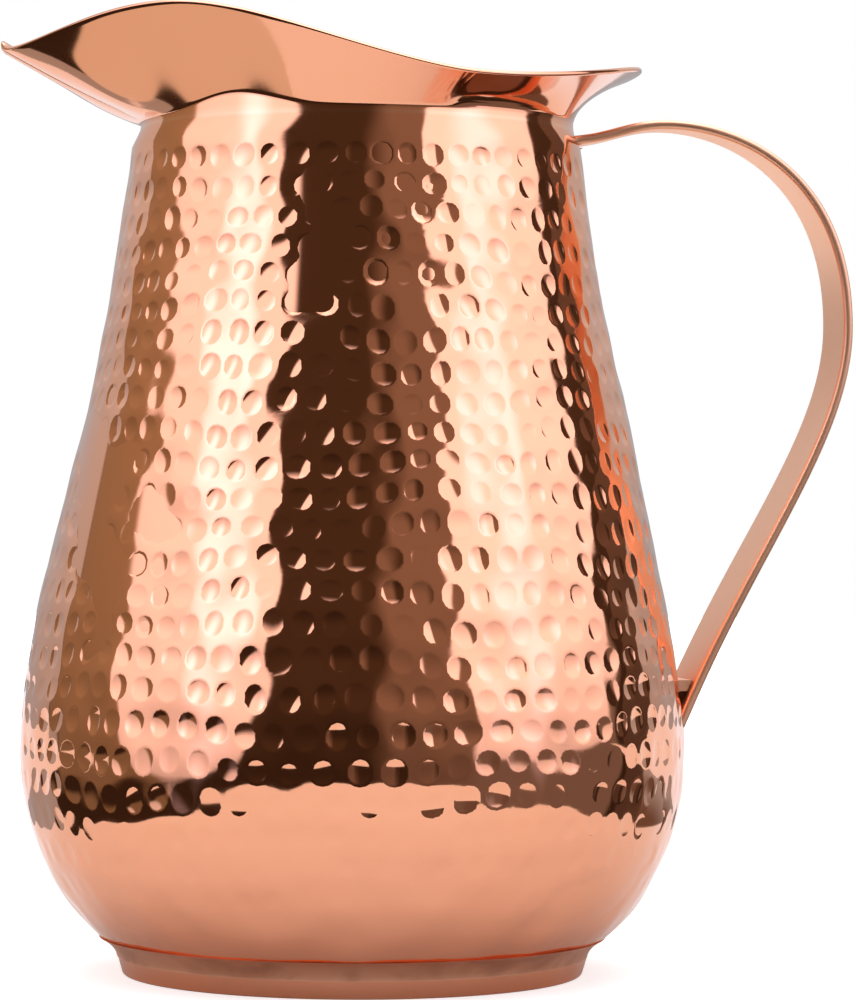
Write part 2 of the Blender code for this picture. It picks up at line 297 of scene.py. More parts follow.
def arc(start, pull, end, steps):
    """(radius, height) pairs along a rounded corner."""
    corners = [Vector((radius, 0, height)) for radius, height in (start, pull, end)]
    inner = [corners[0].lerp(corners[1], 0.6), corners[2].lerp(corners[1], 0.6)]
    points = interpolate_bezier(corners[0], *inner, corners[2], steps + 1)
    return [(point.x, point.z) for point in points]


def vertices_of(geometry):
    return [item for item in geometry if isinstance(item, bmesh.types.BMVert)]


def open_edges_of(geometry):
    return [item for item in geometry if isinstance(item, bmesh.types.BMEdge) and item.is_boundary]


def waves(seed, count, shortest, longest, slope):
    """Random waves in space with a given joint slope: their vectors, phases and heights."""
    rng = np.random.default_rng(seed)
    ways = rng.normal(size=(count, 3))
    ways /= np.linalg.norm(ways, axis=1)[:, None]
    lengths = shortest * (longest / shortest) ** rng.random(count)
    vectors = ways * (2 * pi / lengths)[:, None]
    phases = rng.random(count) * 2 * pi
    heights = slope * np.sqrt(3 / count) * lengths / (2 * pi)
    return vectors, phases, heights


def ripple(places, wave_set):
    """Height and gradient of the waves at each place."""
    vectors, phases, heights = wave_set
    turned = places @ vectors.T + phases
    lift = (np.sin(turned) * heights).sum(axis=1)
    gradient = (np.cos(turned) * heights) @ vectors
    return lift, gradient


def ripple_mesh(mesh, wave_set, strength):
    """Move a mesh's corners by waves along their normals."""
    count = len(mesh.vertices)
    places = np.empty(count * 3, np.float32)
    normals = np.empty(count * 3, np.float32)
    mesh.vertices.foreach_get("co", places)
    mesh.vertices.foreach_get("normal", normals)
    places = places.reshape(-1, 3).astype(float)
    normals = normals.reshape(-1, 3)
    lift, _ = ripple(places, wave_set)
    places = places + normals * (lift * strength(places))[:, None]
    mesh.vertices.foreach_set("co", places.astype(np.float32).ravel())
    mesh.update()


# ---------------------------------------------------------------- hammered body

CORNER_RING, EDGE_RING, HALF_RING = 0.47, 0.40, 0.21   # rings of one mark in its flat cell
CELL_BORDER = 0.499           # corners further out than this are on the cell's border
SHOULDER_REACH = 1.3          # where the rounded shoulder ends, in mark radii
SHOULDER_LEAN = 0.06          # its lean, as a share of the mark's slope
MARK_DEPTH = 0.6              # depth at a mark's middle, in radii times slope
MARK_MARGIN = 0.1 * MM        # least way from the shoulder to the cell's border
CELL_SPREAD = (-0.12, 0.12)   # ranges of chance: extra width of a cell,
WIDTH_SPREAD = (0.84, 1.16)   # width of a mark over the set one,
HEIGHT_SPREAD = (0.98, 1.25)  # its height over its width,
SLOPE_SPREAD = (0.45, 1.35)   # and its slope over the set one
ROW_GAP = 0.35 * MM           # half the plain ribbon between two rows
HEEL_BAND = 3.0 * MM          # plain band at the bottom of the body
HEEL_LAP = 3.0 * MM           # how far the turned-in heel reaches over the base plate
HEEL_INSIDE = 3.6 * MM        # the inside ends this far before the heel
INSIDE_ROWS = 40
LOW_FADE_START, LOW_FADE = 8 * MM, 40 * MM      # the marks get shallower towards the heel,
LEAST_FADE = 0.15                               # down to this part
WANDER_CALM = 15 * MM         # the rows get level over this way at both ends
WANDER_WAVES = ((0.6, 3, 90, 1), (0.4, 7, -130, 0), (0.25, 13, 60, 0))   # share, turns, pace, phase
METAL_WAVES = ((3, 90, 9 * MM, 20 * MM), (5, 24, 45 * MM, 110 * MM))     # short and long ones
METAL_SHARES = (1.0, 0.8)
METAL_CALM_TOP, METAL_CALM_LOW = 4 * MM, 7 * MM     # the waves fade out over this way at each end


def pattern_cell():
    """A flat unit cell with one hammer mark: rings of faces round a middle point."""
    bm = bmesh.new()
    bmesh.ops.create_grid(bm, x_segments=4, y_segments=3, size=0.5)
    bmesh.ops.dissolve_faces(bm, faces=bm.faces, use_verts=False)
    for ring in (CORNER_RING, EDGE_RING, HALF_RING):
        face = max(bm.faces, key=lambda one: len(one.verts))
        bmesh.ops.inset_individual(bm, faces=[face], thickness=0.01)
        for vert in face.verts:
            turn = atan2(vert.co.y, vert.co.x)
            vert.co = Vector((ring * cos(turn), ring * sin(turn), 0))
    face = max(bm.faces, key=lambda one: len(one.verts))
    bmesh.ops.poke(bm, faces=[face])
    mesh = bpy.data.meshes.new("mark_pattern")
    bm.to_mesh(mesh)
    bm.free()
    return mesh


def pattern_row(cell, count):
    """The unit cell repeated along X."""
    bm = bmesh.new()
    bm.from_mesh(cell)
    bmesh.ops.translate(bm, verts=bm.verts, vec=(0.5, 0, 0))
    source = bm.verts[:] + bm.edges[:] + bm.faces[:]
    for place in range(1, count):
        made = bmesh.ops.duplicate(bm, geom=source)["geom"]
        bmesh.ops.translate(bm, verts=vertices_of(made), vec=(place, 0, 0))
    return bm


def mark_borders(rng, count):
    """Angles of the borders between the marks of one row, unevenly spaced."""
    widths = [1 + rng.uniform(*CELL_SPREAD) for _ in range(count)]
    borders = [rng.uniform(0, 2 * pi)]
    for width in widths:
        borders.append(borders[-1] + 2 * pi * width / sum(widths))
    return borders


def row_marks(rng, settings, borders, middle, radius, cell_height, size, fade):
    """Angle, place down the body, half width, half height and slope of each mark in a row."""
    marks = []
    for left, right in zip(borders, borders[1:]):
        room_x = (right - left) * radius / 2 - MARK_MARGIN
        room_y = cell_height / 2 - MARK_MARGIN
        half_x = min(size / 2 * rng.uniform(*WIDTH_SPREAD), room_x / SHOULDER_REACH)
        half_y = min(half_x * rng.uniform(*HEIGHT_SPREAD), room_y / SHOULDER_REACH)
        slack_x = (room_x - half_x * SHOULDER_REACH) / radius
        slack_y = room_y - half_y * SHOULDER_REACH
        marks.append(((left + right) / 2 + rng.uniform(-slack_x, slack_x),
                      middle + rng.uniform(-slack_y, slack_y), half_x, half_y,
                      settings.mark_slope * rng.uniform(*SLOPE_SPREAD) * fade))
    return marks


def mark_relief(step, half, slope):
    """Lift and lean of the metal, a part step of a mark's radius from its middle."""
    if step < SHOULDER_REACH:
        return -slope * half * (MARK_DEPTH - step * step / 2), slope * step
    return 0, slope * SHOULDER_LEAN


def wander(turn, along, profile, settings):
    """A place down the body, moved a little up or down so that the rows aren't level."""
    room = min(along - settings.plain_band, profile.length - HEEL_BAND - along)
    drift = sum(share * sin(turns * turn + pace * along + phase)
                for share, turns, pace, phase in WANDER_WAVES)
    return along + settings.wander * smooth_step(room / WANDER_CALM) * drift


def wrap_row(strip, profile, settings, borders, marks, middle, cell_height):
    """Move a flat row of cells onto the body and press its marks in."""
    tilt = strip.verts.layers.float_vector.new("tilt")
    radius = profile.at(middle)[0]
    for vert in strip.verts:
        place = min(int(vert.co.x), len(marks) - 1)
        local = Vector((vert.co.x - place - 0.5, vert.co.y))
        reach = local.length
        angle, level, half_x, half_y, slope = marks[place]
        if max(abs(local.x), abs(local.y)) > CELL_BORDER:
            turn = borders[place] + (local.x + 0.5) * (borders[place + 1] - borders[place])
            along = wander(turn, middle - local.y * cell_height, profile, settings)
            put_on_body(vert, tilt, profile, turn, along)
            continue
        way = local / reach if reach > 1e-6 else Vector((0, 0))
        step = reach / EDGE_RING if reach < EDGE_RING + 0.01 else SHOULDER_REACH
        lift, lean = mark_relief(step, half_x, slope)
        turn = angle + way.x * half_x * step / radius
        along = wander(turn, level - way.y * half_y * step, profile, settings)
        put_on_body(vert, tilt, profile, turn, along, lift, way * lean)
    bmesh.ops.remove_doubles(strip, verts=strip.verts, dist=1e-5)


def put_on_body(vert, tilt, profile, turn, along, lift=0, lean=Vector((0, 0))):
    """Put one corner on the body, and note where its normal leans."""
    radius, height, out_r, out_z = profile.at(along)
    outwards = Vector((cos(turn), sin(turn), 0))
    sideways = Vector((-sin(turn), cos(turn), 0))
    normal = outwards * out_r + Vector((0, 0, out_z))
    upwards = normal.cross(sideways)
    vert.co = AXIS + outwards * radius + Vector((0, 0, height)) + normal * lift
    vert[tilt] = (normal - sideways * lean.x - upwards * lean.y).normalized()


def add_strip(bm, strip):
    """Join a wrapped row to the body; gives its upper and lower open edges."""
    mesh = bpy.data.meshes.new("strip")
    strip.to_mesh(mesh)
    strip.free()
    known = len(bm.verts)
    bm.from_mesh(mesh)
    bpy.data.meshes.remove(mesh)
    bm.verts.ensure_lookup_table()
    fresh = bm.verts[known:]
    middle = sum(vert.co.z for vert in fresh) / len(fresh)
    bm.edges.index_update()
    opened = {edge for vert in fresh for edge in vert.link_edges if edge.is_boundary}
    opened = sorted(opened, key=lambda edge: edge.index)
    return ([edge for edge in opened if edge.verts[0].co.z > middle],
            [edge for edge in opened if edge.verts[0].co.z <= middle])


def extrude_on_body(bm, edges, tilt, profile, along, lift=0):
    """Extrude a loop to another place on the body; lift below zero is its inside."""
    made = bmesh.ops.extrude_edge_only(bm, edges=edges)["geom"]
    for vert in vertices_of(made):
        turn = atan2(vert.co.y, vert.co.x - AXIS_X)
        put_on_body(vert, tilt, profile, turn, along, lift)
        if lift:
            vert[tilt] = -Vector(vert[tilt])
    return open_edges_of(made)


def extrude_to_ring(bm, edges, tilt, radius, height, normal):
    """Extrude a loop to a level circle."""
    made = bmesh.ops.extrude_edge_only(bm, edges=edges)["geom"]
    for vert in vertices_of(made):
        turn = atan2(vert.co.y, vert.co.x - AXIS_X)
        vert.co = AXIS + Vector((radius * cos(turn), radius * sin(turn), height))
        vert[tilt] = Vector((cos(turn) * normal[0], sin(turn) * normal[0], normal[1]))
    return open_edges_of(made)


def close_shell(bm, upper, lower, profile, settings):
    """Add the plain bands, the turned-in heel and the inside, so that the shell is closed."""
    tilt = bm.verts.layers.float_vector["tilt"]
    edges = upper
    for step in (0.75, 0.5, 0.25, 0.0):
        edges = extrude_on_body(bm, edges, tilt, profile, settings.plain_band * step)
    brim = extrude_to_ring(bm, edges, tilt, neck_radius(SEAM_LOW.z), SEAM_LOW.z, (1, NECK_LEAN))
    start = profile.length - HEEL_BAND
    edges = lower
    for step in (0.4, 0.75, 1.0):
        edges = extrude_on_body(bm, edges, tilt, profile, start + HEEL_BAND * step)
    flange = PLATE_HIGH.x - AXIS_X - HEEL_LAP
    edges = extrude_to_ring(bm, edges, tilt, flange, BODY_LOW.z, (0, -1))
    edges = extrude_to_ring(bm, edges, tilt, flange, BODY_LOW.z + settings.wall, (0, 1))
    start = profile.length - HEEL_INSIDE
    for level in range(INSIDE_ROWS + 1):
        along = start * (1 - level / INSIDE_ROWS)
        edges = extrude_on_body(bm, edges, tilt, profile, along, -settings.wall)
    bmesh.ops.bridge_loops(bm, edges=edges + brim)


def lean_normals(mesh, slope):
    """Add the unevenness of the metal, then shade with the noted normals."""
    count = len(mesh.vertices)
    places = np.empty(count * 3, np.float32)
    normals = np.empty(count * 3, np.float32)
    mesh.vertices.foreach_get("co", places)
    mesh.attributes["tilt"].data.foreach_get("vector", normals)
    mesh.attributes.remove(mesh.attributes["tilt"])
    places = places.reshape(-1, 3).astype(float)
    normals = normals.reshape(-1, 3).astype(float)
    outwards = places - np.array(AXIS)
    outwards[:, 2] = 0
    outside = (outwards * normals).sum(axis=1) > 0
    fade_top = np.clip((SEAM_LOW.z - places[:, 2]) / METAL_CALM_TOP, 0, 1)
    fade_low = np.clip((places[:, 2] - BODY_LOW.z) / METAL_CALM_LOW, 0, 1)
    power = outside * fade_top * fade_low
    for shape, part in zip(METAL_WAVES, METAL_SHARES):
        lift, gradient = ripple(places, waves(*shape, slope))
        along = (gradient * normals).sum(axis=1)[:, None]
        lean = (gradient - normals * along) * (power * part)[:, None]
        places = places + normals * (lift * power * part)[:, None]
        normals = normals - lean
        normals /= np.linalg.norm(normals, axis=1)[:, None]
    mesh.vertices.foreach_set("co", places.astype(np.float32).ravel())
    mesh.update()
    mesh.normals_split_custom_set_from_vertices(normals.tolist())


def build_body(settings):
    """Rows of marks wrapped round the body from the top down, joined and closed to a shell."""
    profile = Profile(cad_profile("hammered_body"))
    cell = pattern_cell()
    rng = random.Random(7)
    bm = bmesh.new()
    bm.verts.layers.float_vector.new("tilt")
    start = settings.plain_band
    end = profile.length - HEEL_BAND
    rows = round((end - start) / settings.row_pitch)
    heights = [1 + settings.growth * row / rows for row in range(rows)]
    scale = (end - start) / sum(heights)
    loops = []
    for height in heights:
        pitch = height * scale
        middle = start + pitch / 2
        start += pitch
        radius = profile.at(middle)[0]
        girth = (radius - NECK_RADIUS) / (BODY_HIGH.x - AXIS_X - NECK_RADIUS)
        swell = 1 + settings.growth * min(max(girth, 0), 1)
        count = round(2 * pi * radius / (settings.mark_spacing * swell))
        fade = (profile.length - middle - LOW_FADE_START) / LOW_FADE
        fade = min(max(fade, LEAST_FADE), 1)
        strip = pattern_row(cell, count)
        borders = mark_borders(rng, count)
        cell_height = pitch - 2 * ROW_GAP
        marks = row_marks(rng, settings, borders, middle, radius, cell_height,
                          settings.mark_width * swell, fade)
        wrap_row(strip, profile, settings, borders, marks, middle, cell_height)
        loops.append(add_strip(bm, strip))
    bpy.data.meshes.remove(cell)
    for (_, above), (below, _) in zip(loops, loops[1:]):
        bmesh.ops.bridge_loops(bm, edges=above + below)
    close_shell(bm, loops[0][0], loops[-1][1], profile, settings)
    bmesh.ops.recalc_face_normals(bm, faces=bm.faces)
    piece = new_piece("hammered_body_shell", bm, hammered_copper(settings), "hammered_body")
    lean_normals(piece.data, settings.unevenness)


# ---------------------------------------------------------------- collar and seams

def smooth_step(value):
    value = min(max(value, 0), 1)
    return value * value * (3 - 2 * value)


def half_rim():
    """The rim from the spout's tip to the back lip, on the +Y side."""
    peak_back, peak_on, dip_back, dip_on = RIM_PULLS
    stretches = (
        (RIM_TIP, RIM_TIP + RIM_TIP_PULL, RIM_PEAK - peak_back * RIM_PEAK_RUN, RIM_PEAK),
        (RIM_PEAK, RIM_PEAK + peak_on * RIM_PEAK_RUN, RIM_DIP - dip_back * RIM_DIP_RUN, RIM_DIP),
        (RIM_DIP, RIM_DIP + dip_on * RIM_DIP_RUN, RIM_BACK + RIM_BACK_PULL, RIM_BACK),
    )
    points = [RIM_TIP]
    for corners, steps in zip(stretches, RIM_STEPS):
        points += interpolate_bezier(*corners, steps + 1)[1:]
    return points


def whole_rim():
    near = half_rim()
    far = [Vector((point.x, -point.y, point.z)) for point in near[1:-1]]
    return near + far[::-1]


def collar_section(rim, settings):
    """Points from the neck to the rim, in the rim point's own upright plane.

    The metal goes on up from the body to the crease, bends there and runs out to the rim. Towards
    the back the lip first climbs, then flares; beside the tip of the spout it is a trough.
    """
    outwards = Vector((rim.x, rim.y, 0)).normalized()
    from_spout = pi - abs(atan2(rim.y, rim.x))
    rise = settings.crease_rise * exp(-((from_spout - CREASE_MIDDLE) / CREASE_SPREAD) ** 2)
    rise += CREASE_LOW
    neck = outwards * neck_radius(SEAM_HIGH.z) + Vector((0, 0, SEAM_HIGH.z))
    climb = (Vector((0, 0, 1)) - outwards * NECK_LEAN).normalized()
    start = neck + climb * rise
    crease = start + climb * settings.fillet
    backness = smooth_step((outwards.x - settings.flare_start) / settings.flare_blend)
    lift = Vector((0, 0, (rim.z - neck.z) * settings.flare_lift))
    middle = ((crease + rim) / 2).lerp(crease + lift, backness)
    trough = settings.trough * exp(-((from_spout - TROUGH_MIDDLE) / TROUGH_SPREAD) ** 2)
    across = (rim - crease).normalized().cross(outwards.cross(Vector((0, 0, 1))))
    middle += across * trough
    flare = interpolate_bezier(crease, crease.lerp(middle, 2 / 3), rim.lerp(middle, 2 / 3), rim,
                               FLARE_STEPS + 1)
    after = crease + (flare[1] - crease).normalized() * settings.fillet
    bend = interpolate_bezier(start, crease, crease, after, FILLET_STEPS + 1)
    rest = [point for point in flare[1:] if (point - crease).length > settings.fillet]
    rest = resample([after] + rest, FLARE_STEPS)
    return [neck, neck.lerp(start, 0.5)] + bend[:-1] + rest


def resample(points, steps):
    """The same polyline at even steps of its length."""
    reach = [0]
    for before, after in zip(points, points[1:]):
        reach.append(reach[-1] + (after - before).length)
    made = []
    for step in range(steps + 1):
        goal = reach[-1] * step / steps
        made.append(Vector([float(np.interp(goal, reach, [point[axis] for point in points]))
                            for axis in range(3)]))
    return made


def neck_radius(height):
    """The body's slope carried on up past its top edge."""
    return NECK_RADIUS - NECK_LEAN * (height - BODY_HIGH.z)


def raise_row(bm, edges, places):
    """Extrude a loop of edges to a row of places."""
    raised = bmesh.ops.extrude_edge_only(bm, edges=edges)["geom"]
    row = vertices_of(raised)
    for vert, place in zip(row, places):
        vert.co = place
    return row, open_edges_of(raised)


def build_collar(settings):
    """The outer face is raised row by row, rounded over at the rim and taken down inside."""
    rim = whole_rim()
    columns = [[AXIS + point for point in collar_section(place, settings)] for place in rim]
    bm = bmesh.new()
    bmesh.ops.create_circle(bm, segments=len(rim), radius=NECK_RADIUS)
    rows = [list(bm.verts)]
    edges = foot_edges = list(bm.edges)
    for vert, column in zip(rows[0], columns):
        vert.co = column[0]
    for level in range(1, len(columns[0])):
        row, edges = raise_row(bm, edges, [column[level] for column in columns])
        rows.append(row)
    bm.normal_update()
    sample = rows[1][0]
    turned = 1 if (sample.co - AXIS).xy.dot(sample.normal.xy) > 0 else -1
    uneven = waves(*COLLAR_WAVES, settings.unevenness)
    for row in rows[2:]:
        lift, _ = ripple(np.array([vert.co for vert in row]), uneven)
        for vert, rise in zip(row, lift):
            power = min((vert.co.z - SEAM_HIGH.z) / COLLAR_CALM, 1)
            vert.co += vert.normal * turned * float(rise) * power
    bm.normal_update()
    inward = [[vert.normal * -turned for vert in row] for row in rows]
    ends = [(last.co - before.co).normalized() for last, before in zip(rows[-1], rows[-2])]
    half = settings.wall / 2
    for turn in (pi * step / ROLL_STEPS for step in range(1, ROLL_STEPS + 1)):
        places = [vert.co + side * half * (1 - cos(turn)) + end * half * ROLL_REACH * sin(turn)
                  for vert, side, end in zip(rows[-1], inward[-1], ends)]
        _, edges = raise_row(bm, edges, places)
    for row, sides in zip(reversed(rows[:-1]), reversed(inward[:-1])):
        places = [vert.co + side * settings.wall for vert, side in zip(row, sides)]
        _, edges = raise_row(bm, edges, places)
    bmesh.ops.bridge_loops(bm, edges=foot_edges + edges)
    bmesh.ops.recalc_face_normals(bm, faces=bm.faces)
    new_piece("spout_collar_shell", bm, plain_copper(settings), "spout_collar",
              SHEET_SHARP)


def build_seams(settings):
    """The braze lines that join the collar and the foot to the body."""
    low = neck_radius(SEAM_LOW.z)
    high = neck_radius(SEAM_HIGH.z)
    outline = [(low, SEAM_LOW.z), (high, SEAM_HIGH.z), (high - settings.wall, SEAM_HIGH.z),
               (low - settings.wall, SEAM_LOW.z)]
    new_piece("collar_seam_line", lathe(outline), plain_copper(settings), "collar_seam",
              TURNED_SHARP)
    outline = arc(*FOOT_SEAM_FACE, FOOT_SEAM_STEPS) + FOOT_SEAM_BACK
    new_piece("foot_seam_fillet", lathe(outline), braze_copper(), "foot_seam",
              TURNED_SHARP)


def build_foot(settings):
    """The ring that the jug stands on, and the dished plate inside it."""
    top = FOOT_HIGH.x - AXIS_X
    bottom = top - settings.lean
    inner = bottom - settings.wall
    outline = [(top, FOOT_HIGH.z),
               (top - FOOT_BEND_LEAN * settings.lean, FOOT_HIGH.z * FOOT_BEND_HEIGHT)]
    outline += arc((bottom + FOOT_EDGE_SIDE, FOOT_EDGE * 1.2), (bottom, 0),
                   (bottom - FOOT_EDGE, 0), FOOT_EDGE_STEPS)
    outline += arc((inner + FOOT_EDGE, 0), (inner, 0), (inner, FOOT_EDGE), FOOT_EDGE_STEPS)
    outline.append((top - settings.wall, FOOT_HIGH.z))
    ring = new_piece("foot_ring_band", lathe(outline), foot_copper(), "foot_ring",
                     TURNED_SHARP)
    ripple_mesh(ring.data, waves(*FOOT_WAVES),
                lambda places: np.clip(places[:, 2] / FOOT_CALM, 0, 1)
                * np.clip((FOOT_HIGH.z - places[:, 2]) / FOOT_CALM, 0, 1))
    radius = PLATE_HIGH.x - AXIS_X
    dish = PLATE_HIGH.z - PLATE_LOW.z - PLATE_SHEET
    parts = [step / PLATE_RINGS for step in range(1, PLATE_RINGS + 1)]
    upper = [(0, PLATE_HIGH.z)] + [
        (radius * part, PLATE_HIGH.z - dish * smooth_step(part * DISH_REACH)) for part in parts]
    lower = [(reach, height - PLATE_SHEET) for reach, height in reversed(upper)]
    new_piece("base_plate_disc", lathe(upper + lower, closed=False), foot_copper(),
              "base_plate", TURNED_SHARP)


# ---------------------------------------------------------------- handle

def strap_path():
    """(radius, width, height) along the handle's middle, from the neck to its lower tail."""
    path = [STRAP_STOPS[0]]
    for start, end, pulls, steps in zip(STRAP_STOPS, STRAP_STOPS[1:], STRAP_PULLS, STRAP_STEPS):
        path += interpolate_bezier(start, start + pulls[0], end + pulls[1], end, steps + 1)[1:]
    return path + [path[-1].lerp(STRAP_TAIL, part) for part in (0.25, 0.5, 0.75, 1)]


def strap_section(width, settings):
    """A flat bar's cross-section with rounded long edges, as (sideways, outwards) pairs."""
    half = settings.thickness / 2
    flat = width / 2 - settings.edge
    quarter = [(flat + settings.edge * cos(radians(turn)),
                half * sin(radians(turn)) ** STRAP_SQUARENESS) for turn in (0, 18, 36, 54, 72)]
    crown = [(flat * part, half * (1 + STRAP_CROWN * (1 - part * part)))
             for part in (1, 0.66, 0.33, 0)]
    right = quarter + crown
    over = right + [(-side, out) for side, out in reversed(right[:-1])]
    return over + [(side, -out) for side, out in reversed(over[1:-1])]


def build_handle(settings):
    """The strap, bent along its path, with its ends let into the body."""
    profile = Profile(cad_profile("hammered_body"))
    path = strap_path()
    middles = [Vector((stop.x, 0, stop.z)) for stop in path]
    bm = bmesh.new()
    last = None
    for index, stop in enumerate(path):
        before = middles[max(index - 1, 0)]
        after = middles[min(index + 1, len(path) - 1)]
        along = (after - before).normalized()
        outwards = Vector((-along.z, 0, along.x))
        corners = [bm.verts.new(middles[index] + side * Vector((0, 1, 0)) + out * outwards)
                   for side, out in strap_section(stop.y, settings)]
        ring = [bm.edges.new(pair) for pair in zip(corners, corners[1:] + corners[:1])]
        if last:
            bmesh.ops.bridge_loops(bm, edges=last + ring)
        else:
            bm.faces.new(corners)
        last = ring
    bm.faces.new(corners)
    for vert in bm.verts:
        radius = hypot(vert.co.x, vert.co.y)
        least = profile.radius_at(vert.co.z) - STRAP_SINK
        if radius < least:
            vert.co.x *= least / radius
            vert.co.y *= least / radius
    bmesh.ops.translate(bm, verts=bm.verts, vec=AXIS)
    bmesh.ops.recalc_face_normals(bm, faces=bm.faces)
    new_piece("handle_strap_bar", bm, satin_copper(settings), "handle_strap",
              SHEET_SHARP)
    for name in ("handle_upper_braze", "handle_lower_braze"):
        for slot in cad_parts[name].material_slots:
            slot.material = satin_copper(settings)


# ---------------------------------------------------------------- materials

def new_group(name, inputs, outputs):
    """An empty shader node group with its sockets, and its input and output nodes."""
    tree = bpy.data.node_groups.new(name, "ShaderNodeTree")
    for label, kind, default in inputs:
        socket = tree.interface.new_socket(label, in_out="INPUT", socket_type=kind)
        if default is not None:
            socket.default_value = default
    for label, kind in outputs:
        tree.interface.new_socket(label, in_out="OUTPUT", socket_type=kind)
    return tree, tree.nodes.new("NodeGroupInput"), tree.nodes.new("NodeGroupOutput")


def feed(tree, socket, value):
    """Link an output to an input, or set the input to a number or a colour."""
    if isinstance(value, bpy.types.NodeSocket):
        tree.links.new(value, socket)
    else:
        socket.default_value = value


def math_node(tree, operation, *values):
    """A Math node; gives its output."""
    node = tree.nodes.new("ShaderNodeMath")
    node.operation = operation
    for socket, value in zip(node.inputs, values):
        feed(tree, socket, value)
    return node.outputs[0]


def mix_node(tree, factor, first, second):
    """A colour Mix node; gives its output."""
    node = tree.nodes.new("ShaderNodeMix")
    node.data_type = "RGBA"
    for index, value in ((0, factor), (6, first), (7, second)):
        feed(tree, node.inputs[index], value)
    return node.outputs[2]


def range_node(tree, value, low, high, start=0, end=1, kind="SMOOTHSTEP"):
    """A Map Range node; gives its output."""
    node = tree.nodes.new("ShaderNodeMapRange")
    node.interpolation_type = kind
    for label, item in (("Value", value), ("From Min", low), ("From Max", high),
                        ("To Min", start), ("To Max", end)):
        feed(tree, node.inputs[label], item)
    return node.outputs["Result"]


def noise_node(tree, vector, scale, detail, distortion=0.0, stretch=None):
    """A Noise Texture on a vector, with the scale per metre; gives its factor."""
    if stretch:
        mapping = tree.nodes.new("ShaderNodeMapping")
        mapping.inputs["Scale"].default_value = stretch
        tree.links.new(vector, mapping.inputs["Vector"])
        vector = mapping.outputs["Vector"]
    noise = tree.nodes.new("ShaderNodeTexNoise")
    for label, value in (("Vector", vector), ("Scale", scale), ("Detail", detail),
                         ("Distortion", distortion)):
        feed(tree, noise.inputs[label], value)
    return noise.outputs["Fac"]


def group_node(tree, name, build, values):
    """A node of a shared group, which is built at its first use, with its inputs fed."""
    node = tree.nodes.new("ShaderNodeGroup")
    node.node_tree = bpy.data.node_groups.get(name) or build(name)
    for label, value in values.items():
        feed(tree, node.inputs[label], value)
    return node


RUBBED = (0.98, 0.62, 0.42, 1)


def tarnish_group(name):
    """Colour of the metal with soft cloudy patches of tarnish, and the patches' mask."""
    tree, start, end = new_group(
        name,
        (("Vector", "NodeSocketVector", None), ("Metal", "NodeSocketColor", (0.9, 0.45, 0.27, 1)),
         ("Tarnish", "NodeSocketColor", (0.80, 0.33, 0.17, 1)),
         ("Scale", "NodeSocketFloat", 22.0), ("Amount", "NodeSocketFloat", 0.3)),
        (("Color", "NodeSocketColor"), ("Mask", "NodeSocketFloat")))
    take = start.outputs
    cloud = range_node(tree, noise_node(tree, take["Vector"], take["Scale"], 4, 0.6), 0.42, 0.72)
    mask = math_node(tree, "MULTIPLY", cloud, take["Amount"])
    feed(tree, end.inputs["Color"], mix_node(tree, mask, take["Metal"], take["Tarnish"]))
    feed(tree, end.inputs["Mask"], mask)
    return tree


def polish_group(name):
    """Fine polishing lines: a roughness and a height for a Bump node."""
    tree, start, end = new_group(
        name,
        (("Vector", "NodeSocketVector", None), ("Roughness", "NodeSocketFloat", 0.06),
         ("Spread", "NodeSocketFloat", 0.03), ("Tarnish", "NodeSocketFloat", 0.0)),
        (("Roughness", "NodeSocketFloat"), ("Height", "NodeSocketFloat")))
    take = start.outputs
    lines = noise_node(tree, take["Vector"], 1.0, 3, 0.2, (300, 300, 2600))
    smears = noise_node(tree, take["Vector"], 60.0, 3, 0.4)
    both = math_node(tree, "MULTIPLY_ADD", lines, 0.35, smears)
    around = math_node(tree, "SUBTRACT", both, 0.55)
    varied = math_node(tree, "MULTIPLY_ADD", around, take["Spread"], take["Roughness"])
    rough = math_node(tree, "MULTIPLY_ADD", take["Tarnish"], 0.05, varied)
    feed(tree, end.inputs["Roughness"], math_node(tree, "MAXIMUM", rough, 0.02))
    feed(tree, end.inputs["Height"], lines)
    return tree


def wear_group(name):
    """Edges rubbed bright: lightens a colour where the metal turns sharply."""
    tree, start, end = new_group(
        name,
        (("Color", "NodeSocketColor", (0.9, 0.45, 0.27, 1)), ("Amount", "NodeSocketFloat", 0.3)),
        (("Color", "NodeSocketColor"),))
    sharpness = tree.nodes.new("ShaderNodeNewGeometry").outputs["Pointiness"]
    edge = range_node(tree, sharpness, 0.52, 0.62, kind="LINEAR")
    share = math_node(tree, "MULTIPLY", edge, start.outputs["Amount"])
    feed(tree, end.inputs["Color"], mix_node(tree, share, start.outputs["Color"], RUBBED))
    return tree


